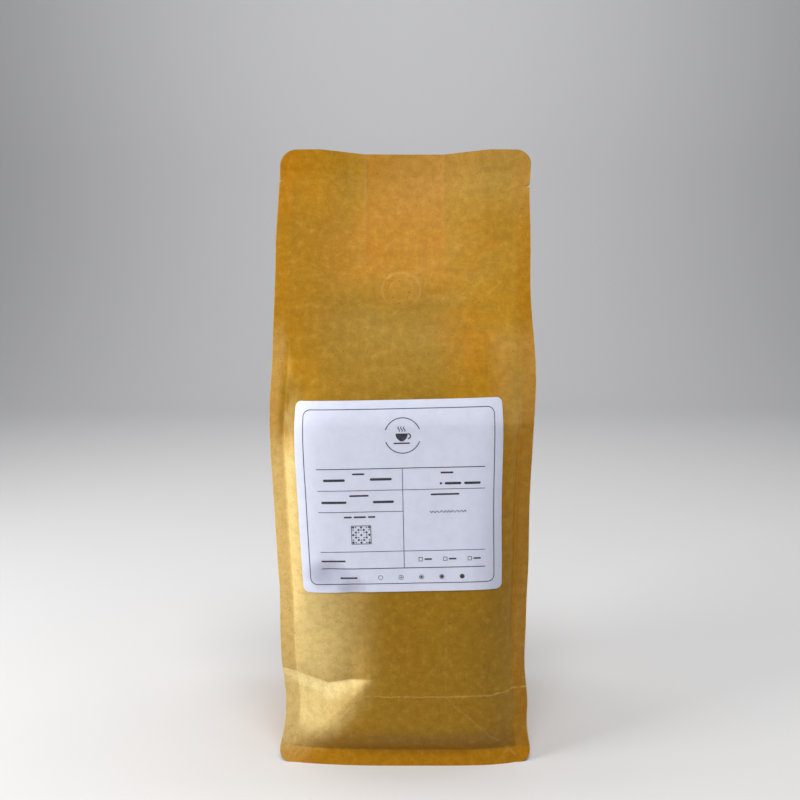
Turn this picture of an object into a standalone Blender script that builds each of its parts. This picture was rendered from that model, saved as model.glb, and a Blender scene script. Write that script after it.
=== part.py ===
"""Coffee bag: a filled and sealed flat-bottom pouch of kraft laminate, with a paper label.

The pouch is what a pouch machine makes from three webs: a front web, a back web, and one long
band that is the left gusset, the bottom and the right gusset in turn. The webs are welded to the
band all round, which leaves a flat fin down each side and a hem along the bottom, and the gussets
fold inwards where the empty upper part closes to the top seal. Each web is a grid that is moulded
by a function of its place on the flat sheet: across, from the middle line, and up, from the hem.

Metres, +Z up. X is across the front, the front faces -Y, and the bag rests on Z = 0.
"""

import math

import bmesh
import bpy
import numpy as np

# ---------------------------------------------------------------- sizes of the flat pouch
PANEL_WIDTH = 0.140  # front or back web, fin edge to fin edge
PANEL_LENGTH = 0.345  # front or back web, hem edge to top edge
GUSSET_WIDTH = 0.095  # side gusset, opened flat
SEAL = 0.008  # width of a fin, and of the hem
TOP_SEAL = 0.012
FIN_THICKNESS = 0.0005
PLATE_THICKNESS = 0.0020  # the top seal: both webs and both folded gussets

TIP = PANEL_WIDTH / 2  # fin edge, from the middle line
ROOT = TIP - SEAL  # seal line, from the middle line
GUSSET_HALF = GUSSET_WIDTH / 2 - SEAL  # free gusset, from seal line to its fold
INNER_FOLD = TIP - GUSSET_WIDTH / 2  # where the folded gusset ends, from the middle line

BOTTOM_CORNER = 0.0065  # radius of the outer corners
TOP_CORNER = 0.009
SEAL_CORNER = 0.001  # radius of the seal line where fin and hem meet
SEAL_STEP = 0.0006  # height over which the gussets end in the top seal
NOTCH_DEPTH = 0.0026
NOTCH_HEIGHT = 0.0020
NOTCH_BELOW_TOP = {-1: 0.0170, 1: 0.0200}  # tear notches, left and right

# ---------------------------------------------------------------- heights up the filled pouch
BELLY = 0.100  # the webs stand out most from the tuck up to here
SHOULDER = 0.192  # the beans end here, and the upper part starts to close
SLACK = 0.256  # the empty part is nearly flat from here up
SHUT_FROM = 0.300  # above here the folded gussets lie shut, from their folds outwards
CLOSED = PANEL_LENGTH - TOP_SEAL
TUCK = 0.017  # height over which a web swells out above the hem

# ---------------------------------------------------------------- shape of the filled pouch
FILLED_HALF_DEPTH = 0.0385  # seal line, from the middle plane
HEM_SPLAY = math.radians(24)
HEM_BULGE = 0.003
FILLED_BULGE = 0.0083  # how far the middle of a web stands in front of its seal lines
SHOULDER_BULGE = 0.0080
SLACK_BULGE = 0.15  # share of the shoulder's bulge that is left in the empty part
LOW_POWER = 5.0  # power of a web's cross-section: 2 is an even arc, and more is boxier
BOX_POWER = 8.0
HIGH_POWER = 3.0
SOFT_CORNER = 2.4  # the dented left is rounder by this power
BOXY_BETWEEN = (0.075, 0.105)  # heights over which the webs turn boxy
GUSSET_SWELL = 0.006
FOLD_SOFTNESS = 1.2  # how much rounder than a V the gusset's fold starts at the shoulder
FIN_LEAN = 9  # degrees back from the plane of the web
FIN_WANDER = 6
FIN_WAVE = 0.195  # height of one wave of the fins
TOP_DIP = 0.0022  # the top edge is this much lower between the gusset folds
TOP_WAVE = 0.0020  # and this far back
TOP_BEND = (0.235, PANEL_LENGTH)  # heights over which the dip and the wave grow
FOLD_RAMP = 0.025  # width beside a gusset fold over which they end

# The dent that a knock left beside the storage creases, low on the front's left.
DENT_DEPTH = 0.0042
DENT_ABOVE = 0.020  # height of its upper wall
DENT_VALLEY = ((0.019, 0.0530), (0.043, 0.0460), (0.070, 0.0510))  # across, up
DENT_EDGE = (0.0185, 0.0285)  # its right wall, across
DENT_RUNOUT = (0.045, 0.066)  # where it gets shallower towards the fin
DENT_RUNOUT_SHARE = 0.35

# How far each fin's edge is drawn in, or let out where negative: height, left, right.
EDGE_DRAW = (
    (0.000, -0.0013, -0.0018),
    (0.018, 0.0019, -0.0004),
    (0.034, 0.0030, -0.0008),
    (0.056, 0.0011, 0.0013),
    (0.080, 0.0007, 0.0014),
    (0.110, -0.0011, 0.0004),
    (0.150, -0.0024, 0.0006),
    (0.190, -0.0030, -0.0007),
    (0.220, -0.0006, -0.0007),
    (0.260, -0.0005, 0.0010),
    (0.300, -0.0009, -0.0001),
    (0.320, 0.0001, -0.0001),
    (0.345, 0.0013, -0.0013),
)

# ---------------------------------------------------------------- label
LABEL_WIDTH = 0.1055
LABEL_HEIGHT = 0.1020
LABEL_CENTRE = (-0.0015, 0.1542)  # across, up
LABEL_TILT = math.radians(1.2)
LABEL_CORNER = 0.003
LABEL_THICKNESS = 0.0002
LABEL_GAP = 0.0003

KRAFT = (0.49, 0.24, 0.045, 1.0)
LABEL_PAPER = (0.72, 0.74, 0.84, 1.0)

FRONT, BACK = -1, 1
WELD = 2e-6


# ---------------------------------------------------------------- small helpers
def ramp(value, start, end):
    """Smooth step from 0 at start to 1 at end."""
    t = np.clip((value - start) / (end - start), 0.0, 1.0)
    return t * t * (3 - 2 * t)


def straight_ramp(value, start, end):
    """Straight step from 0 at start to 1 at end."""
    return np.clip((value - start) / (end - start), 0.0, 1.0)


def curve_through(value, places, heights):
    """Smooth curve through points: a cubic between each two, with the slope of their neighbours."""
    slopes = np.gradient(heights, places)
    left = np.clip(np.searchsorted(places, value, side="right") - 1, 0, len(places) - 2)
    span = places[left + 1] - places[left]
    t = np.clip((value - places[left]) / span, 0.0, 1.0)
    start = heights[left] * (1 + 2 * t) + slopes[left] * span * t
    end = heights[left + 1] * (3 - 2 * t) - slopes[left + 1] * span * (1 - t)
    return start * (1 - t) ** 2 + end * t**2


# ---------------------------------------------------------------- how the pouch stands
def half_depth(up):
    """Seal lines, from the middle plane: constant beside the beans, then closing to the top seal."""
    closing = (ramp(up, SHOULDER, CLOSED) + straight_ramp(up, SHOULDER, CLOSED)) / 2
    return FILLED_HALF_DEPTH * (1 - closing) + PLATE_THICKNESS / 2 * closing


def bulge(up):
    """How far the middle of a web stands in front of its seal lines."""
    tucked = np.sin(0.5 * math.pi * straight_ramp(up, SEAL, SEAL + TUCK))
    belly = FILLED_BULGE + (SHOULDER_BULGE - FILLED_BULGE) * ramp(up, BELLY, SHOULDER)
    filled = HEM_BULGE + (belly - HEM_BULGE) * tucked
    emptied = 1 - (1 - SLACK_BULGE) * ramp(up, SHOULDER, SLACK)
    return filled * emptied * (1 - ramp(up, SLACK, CLOSED))


def squareness(up, across, side):
    """Power of a web's cross-section: softer below the belly, boxy beside it, and round above."""
    above_tuck = ramp(up, *BOXY_BETWEEN)
    boxy = LOW_POWER + (BOX_POWER - LOW_POWER) * above_tuck
    upper = boxy - (BOX_POWER - HIGH_POWER) * ramp(up, SHOULDER, SLACK)
    return upper - SOFT_CORNER * (across < 0) * (side == FRONT) * (1 - above_tuck)


def rise_table():
    """Height of the seal line against its length, which the closing of the upper part uses up."""
    up = np.linspace(SEAL, PANEL_LENGTH, 600)
    step = up[1] - up[0]
    lean = np.gradient(half_depth(up), step)
    climb = np.sqrt(1 - lean**2)
    heights = np.concatenate([[0.0], np.cumsum((climb[1:] + climb[:-1]) / 2) * step])
    return up, SEAL * math.cos(HEM_SPLAY) + heights


RISE_UP, RISE_HEIGHT = rise_table()


def rise(up):
    """Height above the table of a point on the seal line."""
    return np.interp(up, RISE_UP, RISE_HEIGHT)


def dent(across, up):
    """Depth of the dent: a sharp valley, a wall above it, and a facet down to the diagonal crease."""
    reach = -across
    valley = np.interp(reach, *zip(*DENT_VALLEY))
    depth = DENT_DEPTH * straight_ramp(reach, *DENT_EDGE)
    depth = depth * (1 - DENT_RUNOUT_SHARE * ramp(reach, *DENT_RUNOUT))
    above = 1 - ramp(up, valley, valley + DENT_ABOVE)
    diagonal = SEAL + (ROOT - np.clip(reach, INNER_FOLD, ROOT))
    below = straight_ramp(up, diagonal, valley)
    return depth * np.where(up > valley, above, below)


def fin_lean(across, up, side):
    """Angle by which a fin leans back from the plane of its web."""
    phase = 1.6 * np.sign(across) + 0.8 * side
    degrees = FIN_LEAN + FIN_WANDER * np.sin(2 * math.pi * up / FIN_WAVE + phase)
    return np.radians(degrees) * ramp(up, 0.0, BELLY / 2) * (1 - ramp(up, SLACK, CLOSED))


def edge_draw(across, up):
    """How far the body and its fin are drawn towards the middle line on the side of a point."""
    places, left, right = np.array(EDGE_DRAW).T
    drawn_left = curve_through(up, places, left)
    drawn_right = curve_through(up, places, right)
    return np.where(across < 0, drawn_left, drawn_right) * (abs(across) / ROOT) ** 2


def top_wave(across, up):
    """How far the closed top bows back between the gusset folds, and forward beside them."""
    between_folds = 1 - ramp(abs(across), INNER_FOLD, INNER_FOLD + FOLD_RAMP)
    return TOP_WAVE * (between_folds - 0.4) * ramp(up, *TOP_BEND)


def top_dip(across, up):
    """How much lower the sheet is between the gusset folds, towards the top."""
    between_folds = 1 - straight_ramp(abs(across), INNER_FOLD, INNER_FOLD + FOLD_RAMP)
    return TOP_DIP * between_folds * ramp(up, *TOP_BEND)


def web_point(across, up, side):
    """Place in space of a point on the front or back web, from its place on the flat sheet."""
    inside = np.clip(across, -ROOT, ROOT)
    high = np.maximum(up, SEAL)
    share = abs(inside) / ROOT
    power = squareness(high, across, side)
    swell = bulge(high)
    # The swelling uses up width: half its squared slope, summed from the middle to the point.
    used = 0.5 * (swell * power / ROOT) ** 2 / (2 * power - 1) * share ** (2 * power - 1)
    x = np.sign(inside) * ROOT * (share - used)
    forward = half_depth(high) + swell * (1 - share**power)
    x = x - np.sign(inside) * edge_draw(inside, high)
    z = rise(high) - top_dip(across, high)
    if side == FRONT:
        forward = forward - dent(inside, high)

    fin = abs(across) - abs(inside)
    lean = fin_lean(across, high, side)
    x = x + np.sign(across) * fin * np.cos(lean)
    forward = forward - fin * np.sin(lean)
    hem = high - up
    forward = forward + hem * math.sin(HEM_SPLAY)
    z = z - hem * math.cos(HEM_SPLAY)
    y = side * forward + top_wave(across, high)
    return np.stack(np.broadcast_arrays(x, y, z), axis=-1)


# ---------------------------------------------------------------- outline of the flat webs
def tip_at(up, hand):
    """Fin edge from the middle line, with its rounded corners and its tear notch."""
    low = np.clip(BOTTOM_CORNER - up, 0.0, BOTTOM_CORNER)
    high = np.clip(up - (PANEL_LENGTH - TOP_CORNER), 0.0, TOP_CORNER)
    rounding = BOTTOM_CORNER - np.sqrt(BOTTOM_CORNER**2 - low**2)
    rounding = rounding + TOP_CORNER - np.sqrt(TOP_CORNER**2 - high**2)
    away = abs(up - (PANEL_LENGTH - NOTCH_BELOW_TOP[hand]))
    notch = NOTCH_DEPTH * np.clip(1 - 2 * away / NOTCH_HEIGHT, 0.0, 1.0)
    return TIP - rounding - notch


def columns():
    """Places across a web's body where its grid has a column, from seal line to seal line."""
    middle = [0.0, 0.010, 0.019]
    outer = [INNER_FOLD, 0.0275, 0.034, 0.041, 0.048, 0.054, 0.059, ROOT]
    half = np.array(middle + outer)
    return np.concatenate([-half[:0:-1], half])


def corner_steps(radius):
    """Distances from an edge at which a rounded corner of a radius has a row."""
    return [radius * (1 - math.cos(math.radians(angle))) for angle in (0, 22, 44, 66)]


def rows():
    """Places up a web where its grid has a row: close at corners, creases, notches and the seal."""
    bottom = corner_steps(BOTTOM_CORNER)
    diagonal_crease = [SEAL + ROOT - across for across in columns() if across >= INNER_FOLD]
    dent_walls = [0.0510, 0.0560, 0.0620, 0.0690, 0.0780]
    filled = list(np.linspace(0.090, 0.179, 7))
    closing = list(np.linspace(SHOULDER, 0.306, 12)) + [0.315]
    notches = [
        PANEL_LENGTH - below + step
        for below in NOTCH_BELOW_TOP.values()
        for step in (-NOTCH_HEIGHT / 2, 0.0, NOTCH_HEIGHT / 2)
    ]
    seal = [CLOSED - SEAL_STEP, CLOSED]
    top = [PANEL_LENGTH - step for step in corner_steps(TOP_CORNER)]
    low = bottom + diagonal_crease + dent_walls
    return np.array(sorted(low + filled + closing + notches + seal + top))


def web_grid():
    """Across and up of every grid point of a web, each as rows by columns, fins included."""
    up = rows()[:, None]
    left, right = tip_at(up, -1), tip_at(up, 1)
    body = columns()[None, :]
    seal_line = np.minimum(ROOT, np.where(body < 0, left, right) - SEAL / 2)
    middle = body * seal_line / ROOT
    left_fin = (middle[:, :1] - left) / 2
    right_fin = (middle[:, -1:] + right) / 2
    across = np.concatenate([-left, left_fin, middle, right_fin, right], axis=1)
    return across, np.broadcast_to(up, across.shape)


# ---------------------------------------------------------------- the band: gussets and bottom
GUSSET_STATIONS = np.array([0.0, 0.06, 0.20, 0.38, 0.56, 0.74, 0.91, 1.0])  # seal line to fold
FLOOR_EDGE = 0.74  # the bottom is flat from its middle line out to this share of its half depth


def band_path(across, up):
    """Edge of the web from the top left corner, down, along the hem and up to the top right."""
    edge_across = np.concatenate([across[::-1, 0], across[0, 1:-1], across[:, -1]])
    edge_up = np.concatenate([up[::-1, 0], up[0, 1:-1], up[:, -1]])
    return edge_across, edge_up


def seal_place(across, up):
    """Point of the seal line that an edge point belongs to, and how far it has turned to the hem."""
    corner_across, corner_up = ROOT - SEAL_CORNER, SEAL + SEAL_CORNER
    rounding = (abs(across) > corner_across) & (up < corner_up)
    angle = np.arctan2(corner_up - up, abs(across) - corner_across)
    angle = np.clip(angle, 0.0, math.pi / 2)
    seal_across = np.where(rounding, corner_across + SEAL_CORNER * np.cos(angle), abs(across))
    seal_up = np.where(rounding, corner_up - SEAL_CORNER * np.sin(angle), up)
    seal_across = np.minimum(seal_across, ROOT)
    seal_up = np.maximum(seal_up, SEAL)
    hem = np.where(abs(across) <= corner_across, 1.0, np.where(rounding, np.sin(angle) ** 2, 0.0))
    return np.sign(across) * seal_across, seal_up, hem


def gusset_offset(up, station):
    """How far a gusset stands out from the straight line between its seal lines, at a station."""
    depth = half_depth(up)
    reach = np.sqrt(np.maximum(GUSSET_HALF**2 - depth**2, 0.0))
    opening = ramp(up, SHOULDER - 0.022, SHOULDER + 0.044)
    folded = reach * opening * (1 - straight_ramp(up, SHUT_FROM, CLOSED))
    swollen = GUSSET_SWELL * ramp(up, 0.0, 0.030) * (1 - ramp(up, 0.140, SHOULDER + 0.010))
    sharpness = 1 + FOLD_SOFTNESS * (1 - ramp(up, SHOULDER, SLACK))
    return swollen * (1 - station**2) - folded * (1 - abs(station) ** sharpness)


def between(start, end, share):
    """Points on the straight lines from start to end, at each share of the way."""
    share = share[None, :, None]
    return start[:, None] * (1 - share) + end[:, None] * share


def band_points(across, up):
    """The band as points, path by profile: front fin edge, seal line, fold, seal line, back edge."""
    seal_across, seal_up, hem = seal_place(across, up)
    inwards = np.array([0.0, FIN_THICKNESS, 0.0])
    front_edge, back_edge = web_point(across, up, FRONT), web_point(across, up, BACK)
    front_root = web_point(seal_across, seal_up, FRONT) + inwards
    back_root = web_point(seal_across, seal_up, BACK) - inwards

    stations = np.concatenate([GUSSET_STATIONS - 1, 1 - GUSSET_STATIONS[-2::-1]])
    free = between(front_root, back_root, (stations + 1) / 2)
    outwards = gusset_offset(seal_up[:, None], stations[None, :]) * np.sign(across)[:, None]
    free[..., 0] += outwards * (1 - hem)[:, None]
    wave_at_seal = top_wave(seal_across, seal_up)[:, None]
    free[..., 1] += top_wave(free[..., 0], seal_up[:, None]) - wave_at_seal
    free[..., 2] -= top_dip(free[..., 0], seal_up[:, None])
    sunk = 1 - ramp(abs(stations), FLOOR_EDGE, 1.0)
    free[..., 2] -= (front_root[:, 2] * hem)[:, None] * sunk[None, :]

    front_fin = np.stack([front_edge, front_edge + inwards], axis=1)
    back_fin = np.stack([back_edge - inwards, back_edge], axis=1)
    points = np.concatenate([front_fin, free, back_fin], axis=1)
    # In the top seal the band is only the edge of the plate.
    plate_edge = between(front_edge, back_edge, np.linspace(0.0, 1.0, points.shape[1]))
    in_seal = (up >= CLOSED - SEAL_STEP / 2)[:, None, None]
    return np.where(in_seal, plate_edge, points)


# ---------------------------------------------------------------- meshes
def moulded_grid(body, points):
    """Adds a grid primitive to a bmesh, then sets its points to a rows by columns array of places."""
    down, over = points.shape[:2]
    made = bmesh.ops.create_grid(body, x_segments=over - 1, y_segments=down - 1, size=1.0)["verts"]
    by_row = sorted(made, key=lambda vert: (round(vert.co.y, 6), round(vert.co.x, 6)))
    for vert, place in zip(by_row, points.reshape(-1, 3)):
        vert.co = place


def close_top(body, front_row, back_row, end_profiles):
    """Closes the top edge between the last rows of the webs, and its ends with the band's ends."""
    moulded_grid(body, np.stack([front_row, back_row])[:, 1:-1])
    for profile, column in zip(end_profiles, (1, -2)):
        corners = [*profile, back_row[column], front_row[column]]
        body.faces.new([body.verts.new(place) for place in corners])


def new_object(name, collection, body, material):
    """Welds the seams of a bmesh, turns its faces outwards and makes it an object."""
    bmesh.ops.remove_doubles(body, verts=body.verts, dist=WELD)
    bmesh.ops.recalc_face_normals(body, faces=body.faces)
    mesh = bpy.data.meshes.new(name)
    body.to_mesh(mesh)
    body.free()
    mesh.materials.append(material)
    made = bpy.data.objects.new(name, mesh)
    collection.objects.link(made)
    return made


def material(name, colour, roughness):
    """A plain Principled BSDF in one colour."""
    made = bpy.data.materials.new(name)
    made.use_nodes = True
    shader = made.node_tree.nodes["Principled BSDF"]
    shader.inputs["Base Color"].default_value = colour
    shader.inputs["Roughness"].default_value = roughness
    shader.inputs["Metallic"].default_value = 0.0
    return made


def make_bag(collection, centring):
    """The pouch and its beans as one solid."""
    across, up = web_grid()
    front = web_point(across, up, FRONT) - centring
    back = web_point(across, up, BACK) - centring
    band = band_points(*band_path(across, up)) - centring
    body = bmesh.new()
    for points in (front, back, band):
        moulded_grid(body, points)
    close_top(body, front[-1], back[-1], (band[0], band[-1]))
    return new_object("bag", collection, body, material("kraft_laminate", KRAFT, 0.55))


def label_points():
    """Grid of the label just in front of the web: a tilted rectangle with rounded corners."""
    width = np.linspace(-1, 1, 19)
    corner = [1 - 2 * step / LABEL_HEIGHT for step in corner_steps(LABEL_CORNER)]
    height = np.concatenate([np.negative(corner), np.linspace(-0.86, 0.86, 15), corner[::-1]])
    inset = np.clip(LABEL_CORNER - (1 - abs(height)) * LABEL_HEIGHT / 2, 0.0, LABEL_CORNER)
    half = LABEL_WIDTH / 2 - (LABEL_CORNER - np.sqrt(LABEL_CORNER**2 - inset**2))
    flat_across = width[None, :] * half[:, None]
    flat_up = np.broadcast_to(height[:, None] * LABEL_HEIGHT / 2, flat_across.shape)
    across = LABEL_CENTRE[0] + flat_across * math.cos(LABEL_TILT) - flat_up * math.sin(LABEL_TILT)
    up = LABEL_CENTRE[1] + flat_across * math.sin(LABEL_TILT) + flat_up * math.cos(LABEL_TILT)
    return web_point(across, up, FRONT) - np.array([0.0, LABEL_GAP, 0.0])


def make_label(collection, centring):
    """The label: a thin sheet just in front of the web, thickened outwards."""
    body = bmesh.new()
    moulded_grid(body, label_points() - centring)
    made = new_object("label", collection, body, material("label_paper", LABEL_PAPER, 0.6))
    faces_front = made.data.polygons[0].normal.y < 0
    wall = made.modifiers.new("thickness", "SOLIDIFY")
    wall.thickness = LABEL_THICKNESS
    wall.offset = 1.0 if faces_front else -1.0
    return made


def middle_of_box():
    """Middle of the whole object's box, seen from above."""
    across, up = web_grid()
    front, back = web_point(across, up, FRONT), web_point(across, up, BACK)
    label = label_points() - np.array([0.0, LABEL_THICKNESS, 0.0])
    band = band_points(*band_path(across, up))
    everything = np.concatenate([grid.reshape(-1, 3) for grid in (front, back, label, band)])
    middle = (everything.min(axis=0) + everything.max(axis=0)) / 2
    return np.array([middle[0], middle[1], 0.0])


def main():
    for old in list(bpy.data.objects):
        bpy.data.objects.remove(old)
    collection = bpy.data.collections.new("coffee_bag")
    bpy.context.scene.collection.children.link(collection)
    centring = middle_of_box()
    make_bag(collection, centring)
    make_label(collection, centring)


main()
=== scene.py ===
"""Coffee bag: the looks of a filled, sealed flat-bottom pouch of kraft laminate with a paper label.

The pouch is what a pouch machine makes: a front web, a back web, and one long band that is the left
gusset, the bottom and the right gusset in turn. Each is a thin closed sheet here, worked out as a
surface over its own flat pattern: across, from the middle line, and up, from the hem edge, both in
metres. The label and its print are surfaces over the same pattern, so they follow every swell.

Metres, +Z up. X is across the front, the front faces -Y, and the bag rests on Z = 0.
"""

from __future__ import annotations

import logging
import math
from dataclasses import dataclass, field
from enum import Enum
from typing import Sequence

import bpy
import numpy as np
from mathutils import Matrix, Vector

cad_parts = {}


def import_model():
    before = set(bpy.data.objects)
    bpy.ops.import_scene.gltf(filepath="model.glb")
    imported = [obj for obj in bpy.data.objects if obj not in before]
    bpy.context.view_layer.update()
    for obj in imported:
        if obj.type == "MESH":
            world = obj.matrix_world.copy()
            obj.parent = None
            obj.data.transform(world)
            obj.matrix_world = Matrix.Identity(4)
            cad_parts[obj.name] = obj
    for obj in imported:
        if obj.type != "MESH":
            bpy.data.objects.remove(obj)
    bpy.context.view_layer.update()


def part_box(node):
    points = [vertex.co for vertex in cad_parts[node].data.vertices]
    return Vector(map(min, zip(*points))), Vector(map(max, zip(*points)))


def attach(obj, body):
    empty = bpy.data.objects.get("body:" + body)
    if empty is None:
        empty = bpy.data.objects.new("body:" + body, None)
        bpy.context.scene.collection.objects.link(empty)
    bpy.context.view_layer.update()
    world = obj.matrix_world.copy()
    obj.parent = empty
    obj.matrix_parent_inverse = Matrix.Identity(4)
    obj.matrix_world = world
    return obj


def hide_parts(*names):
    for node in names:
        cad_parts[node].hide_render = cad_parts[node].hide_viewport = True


LOG = logging.getLogger("coffee_bag")
MM = 0.001
Array = np.ndarray
Colour = tuple[float, float, float]


class Side(Enum):
    """The two webs, with the direction along Y that each one faces."""

    FRONT = -1
    BACK = 1


# ---------------------------------------------------------------- curves and noise
def ramp(value: Array | float, start: float, end: float) -> Array:
    """Smooth step from 0 at start to 1 at end: 3t^2 - 2t^3 of the share t of the way."""
    t = np.clip((value - start) / (end - start), 0.0, 1.0)
    return t * t * (3 - 2 * t)


def straight_ramp(value: Array | float, start: float, end: float) -> Array:
    """Straight step from 0 at start to 1 at end."""
    return np.clip((value - start) / (end - start), 0.0, 1.0)


def window(value: Array, low: float, high: float, soft: float) -> Array:
    """1 between low and high, and 0 beyond them by soft or more."""
    return ramp(value, low - soft, low) * (1 - ramp(value, high, high + soft))


def hill(value: Array, centre: Array | float, width: float) -> Array:
    """Bell of height 1 at centre: e to the power of minus the squared distance in widths."""
    return np.exp(-(((value - centre) / width) ** 2))


def curve_through(value: Array, places: Array, heights: Array) -> Array:
    """Smooth curve through points: a cubic between each two, with the slope of their neighbours."""
    slopes = np.gradient(heights, places)
    left = np.clip(np.searchsorted(places, value, side="right") - 1, 0, len(places) - 2)
    span = places[left + 1] - places[left]
    t = np.clip((value - places[left]) / span, 0.0, 1.0)
    start = heights[left] * (1 + 2 * t) + slopes[left] * span * t
    end = heights[left + 1] * (3 - 2 * t) - slopes[left + 1] * span * (1 - t)
    return start * (1 - t) ** 2 + end * t**2


def noise(across: Array, up: Array, cell: float, seed: int) -> Array:
    """Gradient noise from about -0.7 to 0.7.

    Formula: each corner of a square cell has a random direction. The height at a point is the dot
    product of its offset from each of the four corners with that corner's direction, and the four
    are blended with the ease 6t^5 - 15t^4 + 10t^3.

    Args:
        across: First coordinate of the points, in metres.
        up: Second coordinate, in metres.
        cell: Size of a cell, in metres.
        seed: Number that the random directions come from.
    Returns:
        The height at every point.
    """
    turns = np.random.default_rng(seed).uniform(0, 2 * math.pi, (64, 64))
    x, y = across / cell, up / cell
    column, row = np.floor(x).astype(int), np.floor(y).astype(int)
    right, above = x - column, y - row

    def corner(step_x: int, step_y: int) -> Array:
        """Height that one corner of the cell gives."""
        turn = turns[(column + step_x) % 64, (row + step_y) % 64]
        return np.cos(turn) * (right - step_x) + np.sin(turn) * (above - step_y)

    ease_x = right**3 * (right * (right * 6 - 15) + 10)
    ease_y = above**3 * (above * (above * 6 - 15) + 10)
    low = corner(0, 0) * (1 - ease_x) + corner(1, 0) * ease_x
    high = corner(0, 1) * (1 - ease_x) + corner(1, 1) * ease_x
    return low * (1 - ease_y) + high * ease_y


def from_line(across: Array, up: Array, start: tuple, end: tuple) -> tuple[Array, Array]:
    """Distance of points from a straight line, and how far along it they are, from 0 to 1."""
    run, climb = end[0] - start[0], end[1] - start[1]
    length = math.hypot(run, climb)
    along = ((across - start[0]) * run + (up - start[1]) * climb) / length**2
    away = ((across - start[0]) * climb - (up - start[1]) * run) / length
    return away, along


# ---------------------------------------------------------------- meshes
@dataclass
class SheetMesh:
    """Thin closed sheets, gathered into one mesh with the flat pattern as its UV map."""

    points: list[Array] = field(default_factory=list)
    faces: list[Array] = field(default_factory=list)
    chart: list[Array] = field(default_factory=list)
    count: int = 0

    def lay(self, outer: Array, flat: Array, thickness: float, ring: bool = False) -> None:
        """Adds a sheet: a grid of four-sided faces, the same grid one thickness below, and a rim.

        Formula: the normal of a grid point is the cross product of the difference between its
        neighbours along its row and the difference between its neighbours in the next rows.

        Args:
            outer: Places of the outer face, rows by columns by 3.
            flat: Places on the flat pattern, rows by columns by 2.
            thickness: Thickness of the sheet, in metres.
            ring: Whether the last row joins the first.
        """
        over = np.gradient(outer, axis=1)
        down = np.gradient(outer, axis=0)
        if ring:
            down = (np.roll(outer, -1, axis=0) - np.roll(outer, 1, axis=0)) / 2
        normal = np.cross(over, down)
        normal /= np.maximum(np.linalg.norm(normal, axis=-1, keepdims=True), 1e-12)
        inner = outer - thickness * normal
        rows, columns = outer.shape[:2]
        index = np.arange(rows * columns).reshape(rows, columns)
        wrapped = np.vstack([index, index[:1]]) if ring else index
        corners = [wrapped[:-1, :-1], wrapped[:-1, 1:], wrapped[1:, 1:], wrapped[1:, :-1]]
        quads = np.stack(corners, axis=-1).reshape(-1, 4)
        below = rows * columns
        edges = [wrapped[:, -1], wrapped[::-1, 0]]
        if not ring:
            edges = [index[0], index[:, -1], index[-1, ::-1], index[::-1, 0]]
        starts = np.concatenate([edge[:-1] for edge in edges])
        ends = np.concatenate([edge[1:] for edge in edges])
        rim = np.stack([ends, starts, starts + below, ends + below], axis=-1)
        self.faces.append(np.concatenate([quads, quads[:, ::-1] + below, rim]) + self.count)
        self.points += [outer.reshape(-1, 3), inner.reshape(-1, 3)]
        self.chart += [flat.reshape(-1, 2)] * 2
        self.count += 2 * below

    def piece(self, name: str, material: bpy.types.Material) -> bpy.types.Object:
        """Makes the object, smooth except along the rims, in one material."""
        mesh = bpy.data.meshes.new(name)
        faces = np.concatenate(self.faces)
        mesh.from_pydata(np.concatenate(self.points), [], faces)
        mesh.update()
        chart = mesh.uv_layers.new(name="sheet")
        flat = np.concatenate(self.chart)[faces.reshape(-1)]
        chart.uv.foreach_set("vector", flat.astype(np.float32).ravel())
        mesh.shade_smooth()
        mesh.set_sharp_from_angle(angle=math.radians(65))
        mesh.materials.append(material)
        made = bpy.data.objects.new(name, mesh)
        bpy.context.scene.collection.objects.link(made)
        return made


# ---------------------------------------------------------------- shader expressions
class Value:
    """A number in a shader. Arithmetic on it adds Math nodes."""

    def __init__(self, tree: "NodeSheet", socket: bpy.types.NodeSocket) -> None:
        """Wraps a socket of a node tree."""
        self.tree = tree
        self.socket = socket

    def _math(self, operation: str, *operands: "Value | float") -> "Value":
        """Adds a Math node with these operands in order."""
        node = self.tree.add("Math", {"operation": operation}, dict(enumerate(operands)))
        return Value(self.tree, node.outputs[0])

    def __add__(self, other: "Value | float") -> "Value":
        """Sum."""
        return self._math("ADD", self, other)

    def __sub__(self, other: "Value | float") -> "Value":
        """Difference."""
        return self._math("SUBTRACT", self, other)

    def __rsub__(self, other: "Value | float") -> "Value":
        """Difference from a number."""
        return self._math("SUBTRACT", other, self)

    def __mul__(self, other: "Value | float") -> "Value":
        """Product."""
        return self._math("MULTIPLY", self, other)

    def __abs__(self) -> "Value":
        """Size without sign."""
        return self._math("ABSOLUTE", self)

    __radd__ = __add__
    __rmul__ = __mul__

    def least(self, other: "Value | float") -> "Value":
        """The smaller of two numbers."""
        return self._math("MINIMUM", self, other)

    def most(self, other: "Value | float") -> "Value":
        """The larger of two numbers."""
        return self._math("MAXIMUM", self, other)

    def step(self, start: float, end: float) -> "Value":
        """Smooth step from 0 at start to 1 at end, where start may be the larger."""
        settings = {"interpolation_type": "SMOOTHSTEP"}
        if start < end:
            node = self.tree.add("MapRange", settings, {0: self, 1: start, 2: end})
            return Value(self.tree, node.outputs[0])
        node = self.tree.add("MapRange", settings, {0: self, 1: end, 2: start, 3: 1.0, 4: 0.0})
        return Value(self.tree, node.outputs[0])

    def line(self, width: float) -> "Value":
        """1 where the number is 0, and 0 from a width away."""
        return abs(self).step(width, 0.0)

    def between(self, low: float, high: float, soft: float) -> "Value":
        """1 between low and high, and 0 beyond them by soft or more."""
        return self.step(low - soft, low) * self.step(high + soft, high)


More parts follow.
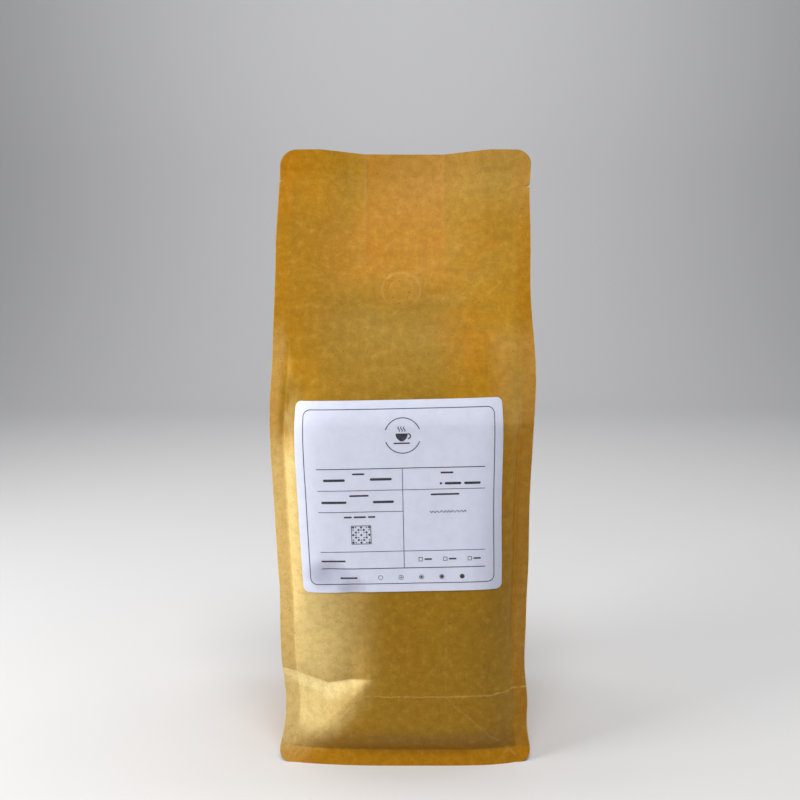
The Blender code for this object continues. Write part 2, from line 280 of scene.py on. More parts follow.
class NodeSheet:
    """The node tree of one material, with one method that adds any node."""

    def __init__(self, name: str) -> None:
        """Makes a new material with only a Principled BSDF and its output."""
        self.material = bpy.data.materials.new(name)
        self.material.use_nodes = True
        self.tree = self.material.node_tree
        self.shader = self.tree.nodes["Principled BSDF"]

    def add(self, kind: str, settings: dict, inputs: dict) -> bpy.types.Node:
        """Adds a node.

        Args:
            kind: Node type, without the leading ShaderNode.
            settings: The node's own properties, which are set first. "stops" are a ramp's stops.
            inputs: A value, link or expression for each socket, by name or number.
        Returns:
            The new node.
        """
        node = self.tree.nodes.new("ShaderNode" + kind)
        for name, setting in settings.items():
            setattr(node, name, setting)
        for name, given in inputs.items():
            self.feed(node.inputs[name], given)
        return node

    def feed(self, socket: bpy.types.NodeSocket, given: object) -> None:
        """Sets a socket to a number or colour, or links it to an expression, node or socket."""
        if isinstance(given, Value):
            given = given.socket
        if isinstance(given, bpy.types.Node):
            given = given.outputs[0]
        if isinstance(given, bpy.types.NodeSocket):
            self.tree.links.new(given, socket)
        elif socket.type == "RGBA":
            socket.default_value = (*given, 1.0)
        else:
            socket.default_value = given

    def chart(self) -> tuple[object, Value, Value]:
        """Place on the flat pattern: as a vector, and as across and up, in metres."""
        place = self.add("UVMap", {"uv_map": "sheet"}, {}).outputs[0]
        parts = self.add("SeparateXYZ", {}, {0: place})
        return place, Value(self, parts.outputs[0]), Value(self, parts.outputs[1])

    def noise(self, place: object, scale: float, detail: float = 2.0, rough: float = 0.5) -> Value:
        """Noise from 0 to 1 at a place, with so many cells to the metre."""
        sockets = {"Vector": place, "Scale": scale, "Detail": detail, "Roughness": rough}
        return Value(self, self.add("TexNoise", {}, sockets).outputs[0])

    def grain(self, place: object, along: float, over: float, turn: float) -> Value:
        """Noise stretched into fibres: cells to the metre along and across them, and their turn."""
        sockets = {"Vector": place, "Rotation": (0, 0, turn), "Scale": (along, over, 1.0)}
        turned = self.add("Mapping", {"vector_type": "TEXTURE"}, sockets)
        turned.inputs["Scale"].default_value = (1 / along, 1 / over, 1.0)
        return self.noise(turned.outputs[0], 1.0, 2.0)

    def mix(self, share: Value | float, first: object, second: object, blend: str = "MIX") -> object:
        """Colour that goes from first to second, or to their blend, as share goes from 0 to 1."""
        settings = {"data_type": "RGBA", "blend_type": blend}
        return self.add("Mix", settings, {0: share, 6: first, 7: second}).outputs[2]

    def bump(self, height: Value, depth: float, below: object = None) -> object:
        """Normal of a surface with a fine relief of a depth in metres, on that of another bump."""
        sockets = {"Strength": 1.0, "Distance": depth, "Height": height}
        if below is not None:
            sockets["Normal"] = below
        return self.add("Bump", {}, sockets).outputs[0]

    def finish(self, sockets: dict) -> bpy.types.Material:
        """Feeds the shader's sockets, and gives the material."""
        for name, given in sockets.items():
            self.feed(self.shader.inputs[name], given)
        return self.material


# ---------------------------------------------------------------- the shape of the filled pouch
@dataclass(frozen=True)
class Pouch:
    """Sizes of the flat pouch and of its filled shape, in metres, and the surfaces they give."""

    panel_width: float = 0.140
    panel_length: float = 0.345
    gusset_width: float = 0.095
    seal: float = 0.008
    top_seal: float = 0.012
    plate_thickness: float = 0.0020
    web_thickness: float = 0.00018
    band_thickness: float = 0.00017
    band_behind: float = 0.00038
    stack_half: float = 0.00042
    bottom_corner: float = 0.0065
    top_corner: float = 0.009
    seal_corner: float = 0.001
    notch_below_top: tuple[float, float] = (0.0170, 0.0200)
    notch_depth: tuple[float, float] = (0.0016, 0.0026)
    notch_height: tuple[float, float] = (0.0012, 0.0020)
    belly: float = 0.100
    shoulder: float = 0.192
    slack: float = 0.256
    tuck: float = 0.017
    filled_half_depth: float = 0.0385
    hem_splay: float = math.radians(24)
    hem_bulge: float = 0.003
    filled_bulge: float = 0.0083
    shoulder_bulge: float = 0.0080
    slack_bulge: float = 0.15
    low_power: float = 5.0
    box_power: float = 8.0
    high_power: float = 3.0
    soft_corner: float = 2.4
    boxy_between: tuple[float, float] = (0.075, 0.105)
    gusset_swell: float = 0.006
    fold_softness: float = 1.2
    fin_lean: float = 9
    fin_wander: float = 6
    fin_wave: float = 0.195
    top_dip: float = 0.0022
    top_wave: float = 0.0020
    top_bend_from: float = 0.235
    fold_ramp: float = 0.025
    dent_depth: float = 0.0040
    dent_above: float = 0.034
    dent_valley: tuple = ((0.0190, 0.0530), (0.0285, 0.0495), (0.043, 0.0460), (0.0565, 0.0480), (0.070, 0.0510))
    dent_edge: tuple[float, float] = (0.0185, 0.0285)
    dent_runout: tuple[float, float] = (0.045, 0.066)
    dent_runout_share: float = 0.35
    valve_centre: tuple[float, float] = (-0.0016, 0.2650)
    valve_radius: float = 0.0103
    crease_height: float = 0.0430
    # How far each fin's edge is drawn in, or let out where negative: height, left, right.
    edge_draw: tuple = (
        (0.000, -0.0013, -0.0018),
        (0.018, 0.0019, -0.0004),
        (0.034, 0.0030, -0.0008),
        (0.056, 0.0011, 0.0013),
        (0.080, 0.0007, 0.0014),
        (0.110, -0.0011, 0.0004),
        (0.150, -0.0024, 0.0006),
        (0.190, -0.0030, -0.0007),
        (0.220, -0.0006, -0.0007),
        (0.260, -0.0005, 0.0010),
        (0.300, -0.0009, -0.0001),
        (0.320, 0.0001, -0.0001),
        (0.345, 0.0013, -0.0013),
    )

    @property
    def tip(self) -> float:
        """Fin edge, from the middle line."""
        return self.panel_width / 2

    @property
    def root(self) -> float:
        """Seal line, from the middle line."""
        return self.tip - self.seal

    @property
    def gusset_half(self) -> float:
        """Free gusset, from seal line to its fold."""
        return self.gusset_width / 2 - self.seal

    @property
    def inner_fold(self) -> float:
        """Where the folded gusset ends, from the middle line."""
        return self.tip - self.gusset_width / 2

    @property
    def closed(self) -> float:
        """Lower edge of the top seal, from the hem edge."""
        return self.panel_length - self.top_seal

    # -- how the pouch stands
    def half_depth(self, up: Array, shut: float) -> Array:
        """Seal lines from the middle plane: constant beside the beans, then closing to shut."""
        closing = ramp(up, self.shoulder, self.closed) + straight_ramp(up, self.shoulder, self.closed)
        closing = closing / 2
        return self.filled_half_depth * (1 - closing) + shut * closing

    def bulge(self, up: Array) -> Array:
        """How far the middle of a web stands in front of its seal lines.

        Formula: it swells as a quarter sine above the hem, falls by a smooth step from belly to
        shoulder, by another from shoulder to slack, and by a last one to nothing at the top seal.
        """
        tucked = np.sin(0.5 * math.pi * straight_ramp(up, self.seal, self.seal + self.tuck))
        upper = (self.shoulder_bulge - self.filled_bulge) * ramp(up, self.belly, self.shoulder)
        filled = self.hem_bulge + (self.filled_bulge + upper - self.hem_bulge) * tucked
        emptied = 1 - (1 - self.slack_bulge) * ramp(up, self.shoulder, self.slack)
        return filled * emptied * (1 - ramp(up, self.slack, self.closed))

    def squareness(self, up: Array, across: Array, side: Side) -> Array:
        """Power of a web's cross-section: softer below the belly, boxy beside it, round above."""
        above_tuck = ramp(up, *self.boxy_between)
        boxy = self.low_power + (self.box_power - self.low_power) * above_tuck
        rounder = ramp(up, self.shoulder - 0.010, self.shoulder + 0.026)
        upper = boxy - (self.box_power - self.high_power) * rounder
        softer = self.soft_corner * (across < 0) * (side is Side.FRONT)
        return upper - softer * (1 - above_tuck)

    def rise(self, up: Array) -> Array:
        """Height above the table of a point on the seal line.

        Formula: the seal line's length, summed upwards with the cosine of its lean, because
        leaning in towards the top seal uses height up.
        """
        steps = np.linspace(self.seal, self.panel_length, 600)
        step = steps[1] - steps[0]
        lean = np.gradient(self.half_depth(steps, self.plate_thickness / 2), step)
        climb = np.sqrt(1 - lean**2)
        heights = np.concatenate([[0.0], np.cumsum((climb[1:] + climb[:-1]) / 2) * step])
        return np.interp(up, steps, self.seal * math.cos(self.hem_splay) + heights)

    def dent(self, across: Array, up: Array) -> Array:
        """Depth of the dent low on the front's left.

        Formula: deepest along a valley line, from where it eases out upwards, falls off straight
        downwards to the diagonal storage crease, and ends at a straight wall on the right.
        """
        reach = -across
        valley = np.interp(reach, *zip(*self.dent_valley))
        depth = self.dent_depth * straight_ramp(reach, *self.dent_edge)
        depth = depth * (1 - self.dent_runout_share * ramp(reach, *self.dent_runout))
        above = 1 - straight_ramp(up, valley, valley + self.dent_above)
        above = above * above * (1.6 - 0.6 * above)
        diagonal = self.seal + (self.root - np.clip(reach, self.inner_fold, self.root))
        below = straight_ramp(up, diagonal, valley)
        return depth * np.where(up > valley, above, below)

    def fin_angle(self, across: Array, up: Array, side: Side) -> Array:
        """Angle by which a fin leans back from the plane of its web: a slow sine up the fin."""
        phase = 1.6 * np.sign(across) + 0.8 * side.value
        wander = self.fin_wander * np.sin(2 * math.pi * up / self.fin_wave + phase)
        lean = np.radians(self.fin_lean + wander) * ramp(up, 0.0, self.belly / 2)
        return lean * (1 - ramp(up, self.slack, self.closed))

    def drawn_in(self, across: Array, up: Array) -> Array:
        """How far the body and its fin are drawn towards the middle line at a point."""
        places, left, right = np.array(self.edge_draw).T
        drawn_left = curve_through(up, places, left)
        drawn_right = curve_through(up, places, right)
        return np.where(across < 0, drawn_left, drawn_right) * (abs(across) / self.root) ** 2

    def sway(self, across: Array, up: Array) -> Array:
        """How far back the closed top stands as a whole: between the folds, and in soft waves."""
        between_folds = 1 - ramp(abs(across), self.inner_fold, self.inner_fold + self.fold_ramp)
        bow = self.top_wave * (between_folds - 0.4) * ramp(up, self.top_bend_from, self.panel_length)
        waves = 1.1 * MM * noise(across, 0.6 * up, 0.052, 41)
        return bow + waves * ramp(up, self.slack, self.closed)

    def dip(self, across: Array, up: Array) -> Array:
        """How much lower the sheet is between the gusset folds, towards the top."""
        ends = self.inner_fold, self.inner_fold + self.fold_ramp
        between_folds = 1 - straight_ramp(abs(across), *ends)
        return self.top_dip * between_folds * ramp(up, self.top_bend_from, self.panel_length)

    # -- fine relief
    def diagonal_crease(self, across: Array) -> Array:
        """Height of the crease from each bottom corner up to where the gusset's fold lay."""
        return self.crease_height + self.inner_fold - abs(across)

    def crumple(self, across: Array, up: Array, seed: int) -> Array:
        """Soft unevenness of handled laminate: noise of three sizes, finer where it is slack."""
        broad = 0.55 * MM * noise(across, up, 0.046, seed)
        middling = 0.26 * MM * noise(across, up, 0.019, seed + 1)
        small = 0.07 * MM * noise(across, up, 0.0065, seed + 2)
        slackness = 0.45 + 0.55 * ramp(up, self.belly, self.shoulder)
        return (broad + middling) * slackness + small

    def creases(self, across: Array, up: Array) -> Array:
        """Low ridges along the storage creases, level and diagonal, and along the gusset folds."""
        reach = abs(across)
        level = hill(up, self.crease_height, 0.9 * MM)
        diagonal_up = self.diagonal_crease(across)
        beside = ramp(reach, self.inner_fold - 0.002, self.inner_fold)
        diagonal = hill(up, diagonal_up, 1.2 * MM) * beside * (reach < self.root)
        upright = hill(reach, self.inner_fold, 0.9 * MM) * window(up, 0.048, 0.090, 0.012)
        return 0.12 * MM * level + 0.14 * MM * diagonal + 0.03 * MM * upright

    def recess(self, across: Array, up: Array) -> Array:
        """How far the middle band is pressed in beside the flat-folded gussets behind the web."""
        start = np.where(across < 0, 0.292, 0.268)
        inside = 1 - ramp(abs(across), self.inner_fold - 1.7 * MM, self.inner_fold - 0.2 * MM)
        return 0.20 * MM * inside * straight_ramp(up, start, start + 0.030)

    def valve(self, across: Array, up: Array) -> Array:
        """Print of the valve's disc behind the web: a low step with a fine ring in it."""
        away = np.hypot(across - self.valve_centre[0], up - self.valve_centre[1])
        disc = 1 - ramp(away, self.valve_radius - 0.8 * MM, self.valve_radius + 0.7 * MM)
        rim = hill(away, self.valve_radius - 0.9 * MM, 0.7 * MM)
        ring = hill(away, 0.6 * self.valve_radius, 0.55 * MM)
        return 0.09 * MM * disc + 0.05 * MM * rim - 0.06 * MM * ring

    def front_relief(self, across: Array, up: Array) -> Array:
        """What a knock, the valve, dents under the label and the closing have left on the front."""
        turn = -np.clip(across + self.inner_fold, -0.05, 0.0)
        bend = -0.5 * MM * (1 - np.exp(-turn / 0.011)) * (1 - ramp(turn, 0.018, 0.040))
        bend = bend * window(up, 0.052, 0.088, 0.020)
        ridge = 0.22 * MM * hill(across, 0.003 + 0.02 * (up - 0.265), 5.0 * MM)
        ridge = ridge * window(up, 0.250, 0.290, 0.020)
        pinch = -0.12 * MM * hill(up, 0.2630, 2.8 * MM) * window(across, 0.014, 0.030, 0.006)
        shoulders = -0.5 * MM * hill(up, 0.199, 0.014) * hill(abs(across), 0.0570, 0.0050)
        cheek = 0.3 * MM * hill(up, 0.222, 0.012) * hill(abs(across), 0.058, 0.008)
        dent_and_painted_shade = -0.95 * MM * hill(across, -0.0385, 6.0 * MM) * hill(up, 0.1130, 6.5 * MM)
        dent_and_painted_shade = dent_and_painted_shade - 0.60 * MM * hill(across, -0.0275, 5.0 * MM) * hill(up, 0.1035, 5.0 * MM)
        kink = 0.25 * MM * hill(up, 0.0935, 2.2 * MM) * hill(across, -0.0215, 2.6 * MM)
        return bend + ridge + pinch + shoulders + cheek + dent_and_painted_shade + kink

    def relief(self, across: Array, up: Array, side: Side) -> Array:
        """How far a web stands out from its smooth shape, in metres.

        Formula: crumples, creases and prints add up. They fade at the fins, which are two layers
        welded flat, and over the shut gussets, which lie right behind the web.
        """
        inside = 1 - ramp(abs(across), self.root - 2.5 * MM, self.root)
        free = inside * ramp(up, self.seal, self.seal + 0.010)
        loose = 1 - 0.88 * ramp(up, 0.285, self.closed)
        total = self.crumple(across, up, 7 if side is Side.FRONT else 23) * loose
        total = total + self.creases(across, up) * ramp(up, self.seal, self.seal + 0.004)
        if side is Side.FRONT:
            total = total + self.front_relief(across, up) * loose + self.valve(across, up)
        return total * free - self.recess(across, up)

    # -- the webs
    def web_point(
        self,
        across: Array,
        up: Array,
        side: Side,
        behind: float = 0.0,
        shut: float | None = None,
        fine: bool = True,
    ) -> Array:
        """Place in space of a point on a web, from its place on the flat pattern.

        Formula: the cross-section between the seal lines is bulge times one minus the share of
        the way to the seal line to a power. The swelling uses up width: half its squared slope,
        summed from the middle. A fin goes on from the seal line at its own lean, and the hem
        goes on below the seal line at its splay.

        Args:
            across: From the middle line, positive to the right as seen from the front.
            up: From the hem edge.
            side: Which web.
            behind: How far behind the outer face of the web.
            shut: Half thickness of the top seal, when not that of the real layers.
            fine: Whether the fine relief is added.
        Returns:
            The places, with one more axis of 3 at the end.
        """
        inside = np.clip(across, -self.root, self.root)
        high = np.maximum(up, self.seal)
        share = abs(inside) / self.root
        power = self.squareness(high, across, side)
        swell = self.bulge(high)
        slope = swell * power / self.root
        used = 0.5 * slope**2 / (2 * power - 1) * share ** (2 * power - 1)
        x = np.sign(inside) * self.root * (share - used)
        forward = self.half_depth(high, self.stack_half if shut is None else shut)
        forward = forward + swell * (1 - share**power) - behind
        x = x - np.sign(inside) * self.drawn_in(inside, high)
        z = self.rise(high) - self.dip(across, high)
        if side is Side.FRONT:
            forward = forward - self.dent(inside, high)
        if fine:
            forward = forward + self.relief(across, up, side)
        fin = abs(across) - abs(inside)
        lean = self.fin_angle(across, high, side)
        x = x + np.sign(across) * fin * np.cos(lean)
        forward = forward - fin * np.sin(lean)
        hem = high - up
        forward = forward + hem * math.sin(self.hem_splay)
        z = z - hem * math.cos(self.hem_splay)
        y = side.value * forward + self.sway(across, high)
        return np.stack(np.broadcast_arrays(x, y, z), axis=-1)

    def tip_at(self, up: Array, hand: int) -> Array:
        """Fin edge from the middle line, with its rounded corners and its tear notch."""
        low = np.clip(self.bottom_corner - up, 0.0, self.bottom_corner)
        high = np.clip(up - (self.panel_length - self.top_corner), 0.0, self.top_corner)
        rounding = self.bottom_corner - np.sqrt(self.bottom_corner**2 - low**2)
        rounding = rounding + self.top_corner - np.sqrt(self.top_corner**2 - high**2)
        side = (hand + 1) // 2
        away = abs(up - (self.panel_length - self.notch_below_top[side]))
        bite = np.clip(1 - 2 * away / self.notch_height[side], 0.0, 1.0)
        return self.tip - rounding - self.notch_depth[side] * bite

    def rows(self, spacings: Sequence[tuple[float, float]]) -> Array:
        """Places up a web where its grid has a row.

        Args:
            spacings: Pairs of the height up to which a spacing holds, and that spacing.
        Returns:
            Heights from the hem edge to the top edge, with the corners and notches met exactly.
        """
        angles = np.radians([0, 12, 24, 36, 48, 60, 72, 84])
        bottom = self.bottom_corner * (1 - np.cos(angles))
        top = self.panel_length - self.top_corner * (1 - np.cos(angles))
        notches = [
            self.panel_length - below + share * height
            for below, height in zip(self.notch_below_top, self.notch_height)
            for share in (-0.5, -0.25, 0.0, 0.25, 0.5)
        ]
        exact = np.concatenate([bottom, [self.seal], notches, top])
        plain, start = [], self.bottom_corner
        for end, spacing in spacings:
            plain.append(np.arange(start + spacing / 2, end, spacing))
            start = end
        plain = np.concatenate(plain)
        clear = abs(plain[:, None] - exact[None, :]).min(axis=1) > 0.35 * MM
        return np.unique(np.round(np.concatenate([exact, plain[clear]]), 7))

    def web_grid(self, up: Array, columns: int, fin_columns: int) -> tuple[Array, Array]:
        """Across and up of every grid point of a web, each as rows by columns, fins included."""
        up = up[:, None]
        left, right = self.tip_at(up, -1), self.tip_at(up, 1)
        share = np.linspace(-1, 1, columns)[None, :]
        body = self.root * (share + 0.03 * np.sin(np.pi * share))
        seal_line = np.minimum(self.root, np.where(body < 0, left, right) - self.seal / 2)
        middle = body * seal_line / self.root
        out = np.linspace(0, 1, fin_columns + 1)[None, 1:]
        right_fin = middle[:, -1:] * (1 - out) + right * out
        left_fin = (middle[:, :1] * (1 - out) - left * out)[:, ::-1]
        across = np.concatenate([left_fin, middle, right_fin], axis=1)
        return across, np.broadcast_to(up, across.shape)

    def plain_middle(self) -> Array:
        """Middle of the smooth pouch's box, seen from above, with the solid's top seal."""
        across, up = self.web_grid(self.rows([(self.panel_length, 4 * MM)]), 31, 2)
        half = self.plate_thickness / 2
        webs = [self.web_point(across, up, side, shut=half, fine=False) for side in Side]
        points = np.concatenate(webs).reshape(-1, 3)
        middle = (points.min(axis=0) + points.max(axis=0)) / 2
        return np.array([middle[0], middle[1], 0.0])

    # -- the band: gussets and bottom
    def seal_place(self, across: Array, up: Array) -> tuple[Array, Array, Array]:
        """Point of the seal line that an edge point belongs to, and how far it turned to the hem."""
        corner_across, corner_up = self.root - self.seal_corner, self.seal + self.seal_corner
        rounding = (abs(across) > corner_across) & (up < corner_up)
        angle = np.arctan2(corner_up - up, abs(across) - corner_across)
        angle = np.clip(angle, 0.0, math.pi / 2)
        rounded = corner_across + self.seal_corner * np.cos(angle)
        seal_across = np.where(rounding, rounded, abs(across))
        seal_up = np.where(rounding, corner_up - self.seal_corner * np.sin(angle), up)
        level = np.where(rounding, np.sin(angle) ** 2, 0.0)
        hem = np.where(abs(across) <= corner_across, 1.0, level)
        seal_across = np.sign(across) * np.minimum(seal_across, self.root)
        return seal_across, np.maximum(seal_up, self.seal), hem

    def gusset_offset(self, up: Array, station: Array) -> Array:
        """How far a gusset stands out from the straight line between its seal lines.

        Formula: beside the beans it swells as a parabola. Above, it folds in as a V that sharpens
        upwards, as deep as its own width allows between the two seal lines.
        """
        depth = self.half_depth(up, self.stack_half - self.band_behind)
        reach = np.sqrt(np.maximum(self.gusset_half**2 - depth**2, 0.0))
        folded = reach * ramp(up, self.shoulder - 0.022, self.shoulder + 0.044)
        swollen = self.gusset_swell * ramp(up, 0.0, 0.030)
        swollen = swollen * (1 - ramp(up, 0.140, self.shoulder + 0.010))
        sharpness = 1 + self.fold_softness * (1 - ramp(up, self.shoulder, self.slack))
        return swollen * (1 - station**2) - folded * (1 - abs(station) ** sharpness)

    def gusset_relief(self, up: Array, station: Array, hand: Array) -> Array:
        """Folds left on a gusset: its middle crease, the storage creases, and crumples."""
        over = station * self.gusset_half
        crumples = self.crumple(over + 0.3 * hand, up, 57)
        middle = 0.35 * MM * hill(over, 0.0, 1.0 * MM)
        diagonal = hill(up, self.seal + abs(over), 1.0 * MM) * (abs(station) < 0.97)
        level = hill(up, self.seal + self.gusset_half, 0.9 * MM)
        total = 1.4 * crumples + middle + 0.22 * MM * diagonal + 0.12 * MM * level
        ends = 1 - ramp(abs(station), 0.90, 1.0)
        return total * ends * (1 - ramp(up, self.shoulder, self.slack))


# ---------------------------------------------------------------- finishes
@dataclass(frozen=True)
class KraftLaminate:
    """Brown kraft paper laminated to film: satin, fibrous, pale where it was creased, with light and shade
    painted into its colour.
    """

    golden: Colour = (0.430, 0.212, 0.006)
    orange: Colour = (0.460, 0.178, 0.002)
    olive: Colour = (0.340, 0.186, 0.012)
    painted_shade: Colour = (0.272, 0.140, 0.002)
    greyer_painted_shade: Colour = (0.285, 0.165, 0.018)
    painted_tuck_shadow: Colour = (0.245, 0.105, 0.0)
    painted_light: Colour = (0.80, 0.61, 0.25)
    painted_highlight_and_crease: Colour = (0.93, 0.78, 0.40)
    darker: Colour = (0.62, 0.56, 0.40)
    fleck: Colour = (0.38, 0.32, 0.25)
    fibre: Colour = (0.70, 0.44, 0.12)
    wear_and_painted_highlight: Colour = (0.76, 0.54, 0.20)
    roughness: float = 0.42
    specular: float = 0.35
    gloss_tint: Colour = (1.0, 0.93, 0.50)

    def _dye(self, sheet: NodeSheet, place: object) -> object:
        """Colour of the paper in its broad clouds: golden, orange and olive."""
        broad = sheet.noise(place, 24, 2.0)
        patches = sheet.noise(place, 75, 3.0, 0.55)
        tone = sheet.mix(broad.step(0.40, 0.66) * 0.60, self.golden, self.orange)
        return sheet.mix(patches.step(0.44, 0.70) * 0.45, tone, self.olive)

    def _fibres(self, sheet: NodeSheet, place: object, tone: object) -> tuple[object, Value]:
        """Puts the paper's fibres on a colour, and gives their relief.

        Formula: noise of a few millimetres and of one millimetre darkens by its share. Noise
        stretched into fibres that lie at three angles lightens, and where stretched noise of its
        own peaks there is a dark fleck.
        """
        mottle = sheet.noise(place, 225, 3.0, 0.6)
        grain = sheet.noise(place, 950, 2.0, 0.6)
        fibres = sheet.grain(place, 190, 1300, 0.25)
        fibres = fibres.most(sheet.grain(place, 210, 1450, 1.35))
        fibres = fibres.most(sheet.grain(place, 180, 1250, 2.50))
        tone = sheet.mix(mottle.step(0.60, 0.34) * 0.34, tone, self.darker, "MULTIPLY")
        tone = sheet.mix(grain.step(0.56, 0.32) * 0.26, tone, self.darker, "MULTIPLY")
        tone = sheet.mix(mottle.step(0.54, 0.78) * 0.16, tone, self.fibre)
        tone = sheet.mix(fibres.step(0.63, 0.80) * 0.15, tone, self.fibre)
        flecks = sheet.grain(place, 420, 900, 0.9).step(0.66, 0.735)
        return sheet.mix(flecks * 0.55, tone, self.fleck, "MULTIPLY"), fibres * 0.6 + grain * 0.5

    def _web_wear_and_highlight(self, pouch: Pouch, across: Value, up: Value, scuff: Value, side: Side) -> Value:
        """Wear on a web along its storage creases, low gusset folds and fin edges, with a painted highlight on
        the left fold near the top.
        """
        reach = abs(across)
        level = (up - pouch.crease_height).line(0.9 * MM)
        if side is Side.FRONT:
            level = level * across.step(-pouch.inner_fold - 0.004, -pouch.inner_fold + 0.004)
        level = level * (across.step(0.0, 0.050) * 0.14 + 0.22)
        beside = reach.between(pouch.inner_fold, pouch.root, 0.8 * MM)
        diagonal = (up + reach - pouch.crease_height - pouch.inner_fold).line(1.2 * MM) * beside
        upright = (reach - pouch.inner_fold).line(0.9 * MM) * up.between(0.048, 0.078, 0.020)
        # Painted highlight: a pale line along the left gusset fold towards the top.
        fold = (reach - pouch.inner_fold + 0.8 * MM).line(1.5 * MM) * up.step(0.280, 0.325)
        edge = reach.step(pouch.tip - 0.5 * MM, pouch.tip)
        creases = level.most(diagonal * 0.13).most(upright * 0.08)
        return (creases * scuff).most(fold * across.step(0.010, -0.010) * 0.10).most(edge * 0.35)

    def _band_wear(self, pouch: Pouch, over: Value, path: Value, scuff: Value) -> Value:
        """Wear on the band: along the middle fold, and the diagonals that stored flat."""
        middle = over.line(0.9 * MM)
        above = abs(path) - pouch.root
        diagonal = (above - abs(over)).line(1.1 * MM)
        level = (above - pouch.gusset_half).line(0.9 * MM)
        edge = abs(over).step(pouch.gusset_width / 2 - 0.5 * MM, pouch.gusset_width / 2)
        return ((middle * 0.5).most(diagonal * 0.4).most(level * 0.4) * scuff).most(edge * 0.4)

    def material(self, name: str, pouch: Pouch, side: Side | None) -> bpy.types.Material:
        """Makes the finish for a web, or for the band where side is None."""
        sheet = NodeSheet(name)
        place, across, up = sheet.chart()
        wobble = (sheet.noise(place, 120, 3.0, 0.6) - 0.5) * (2.2 * MM)
        scuff = sheet.noise(place, 210, 3.0, 0.7).step(0.34, 0.60)
        tone = self._dye(sheet, place)
        if side is None:
            free = pouch.gusset_half
            welded = abs(across).step(free - 0.4 * MM, free + 0.4 * MM)
            wear_and_highlight = self._band_wear(pouch, across + wobble, up + wobble, scuff)
        else:
            fin = abs(across).step(pouch.root - 0.5 * MM, pouch.root + 0.5 * MM)
            welded = fin.most(up.step(pouch.seal + 0.5 * MM, pouch.seal - 0.5 * MM))
            wear_and_highlight = self._web_wear_and_highlight(pouch, across + wobble * 0.5, up + wobble, scuff, side)
            # Painted shade: both webs darker towards the bottom.
            tone = sheet.mix(up.step(0.235, 0.100) * 0.75, tone, self.painted_shade)
        tone = sheet.mix(welded * 0.50, tone, self.orange)
        if side is Side.FRONT:
            tone = self._front_painted_light_and_shade(sheet, pouch, across, up, tone, welded)
        tone, fibres = self._fibres(sheet, place, tone)
        rough = sheet.noise(place, 150, 3.0, 0.6) * 0.12 + (self.roughness - 0.06)
        if side is Side.FRONT:
            tone = self._valve_print(sheet, pouch, across, up, scuff, tone)
        return sheet.finish(
            {
                "Base Color": sheet.mix(wear_and_highlight, tone, self.wear_and_painted_highlight),
                "Roughness": rough + wear_and_highlight * 0.10,
                "Specular IOR Level": self.specular,
                "Specular Tint": self.gloss_tint,
                "Normal": sheet.bump(fibres, 0.05 * MM),
            }
        )

    def _front_painted_light_and_shade(
        self, sheet: NodeSheet, pouch: Pouch, across: Value, up: Value, tone: object, fin: Value
    ) -> object:
        """Light and shade painted into the front's colour, and its tone towards the top.

        The lower left is painted pale as a highlight, most of all on the facet under the dent, with
        painted shade just above the dent and a painted shadow in the tuck. The strip between the
        gusset folds is more orange towards the top. Painted shade darkens the upper left flank, the
        left shoulder and the web just above the label; painted light brightens the top, the right
        edge and the left fin.
        """
        reach = 0 - across
        left = reach.step(0.006, 0.056)
        above_diagonal = up + reach - (pouch.crease_height + pouch.inner_fold)
        over = up - (abs(reach - 0.043) * 0.24 + 0.0465)
        facet = above_diagonal.step(-0.001, 0.018) * over.step(0.0012, -0.0004) * reach.step(0.0155, 0.0185)
        # Painted highlight: the lower left and the facet under the dent are painted pale.
        lower_left_painted_light = left * above_diagonal.step(-0.018, 0.004)
        lower_left_painted_light = lower_left_painted_light.most(facet * 0.95) * up.step(0.194, 0.168) * (up.step(0.004, 0.013) * 0.7 + 0.3)
        tone = sheet.mix(lower_left_painted_light * (0.80 - fin * 0.24), tone, self.painted_light)
        # Painted highlight: a brighter band along the dent's valley, on the facet below it.
        band = facet * (over + 0.0085 - abs(reach - 0.036) * 0.14).step(-0.0035, 0.0020)
        tone = sheet.mix(band * 0.40 + facet * 0.12, tone, self.painted_highlight_and_crease)
        # Painted shade: just above the dent's valley.
        eaves = over.step(-0.0004, 0.0008) * over.step(0.0100, 0.0010) * reach.between(0.020, 0.058, 0.006)
        tone = sheet.mix(eaves * 0.24, tone, self.painted_shade)
        # Pale line along the dent's valley where it meets the left fin: crease wear with painted highlight.
        tone = sheet.mix(over.line(0.7 * MM) * reach.step(0.055, 0.062) * 0.40, tone, self.painted_highlight_and_crease)
        # Painted shadow: the tuck above the hem, weaker on the hem.
        tone = sheet.mix(up.step(0.026, 0.012) * (0.6 - fin * 0.5), tone, self.painted_tuck_shadow)
        strip = abs(across).step(pouch.inner_fold + 0.001, pouch.inner_fold - 0.001)
        tone = sheet.mix(strip * up.step(0.262, 0.292) * 0.60, tone, self.orange)
        # Painted shade: the upper left flank darker and more orange, then darker still.
        flank = reach.step(0.018, 0.046) * up.step(0.225, 0.250) * up.step(0.325, 0.300)
        tone = sheet.mix(flank * 0.55, tone, self.orange)
        tone = sheet.mix(reach.step(0.018, 0.046) * up.between(0.236, 0.300, 0.024) * 0.50, tone, self.painted_shade)
        # Painted light: paler at the top, more so to the right.
        tone = sheet.mix(across.step(-0.060, 0.030) * up.step(0.296, 0.334) * 0.20, tone, self.painted_light)
        # Painted shade: just right of the right gusset fold, towards the top.
        beside = across.step(pouch.inner_fold - 0.0004, pouch.inner_fold + 0.0004) * up.step(0.262, 0.282)
        tone = sheet.mix(beside * 0.16, tone, self.painted_shade)
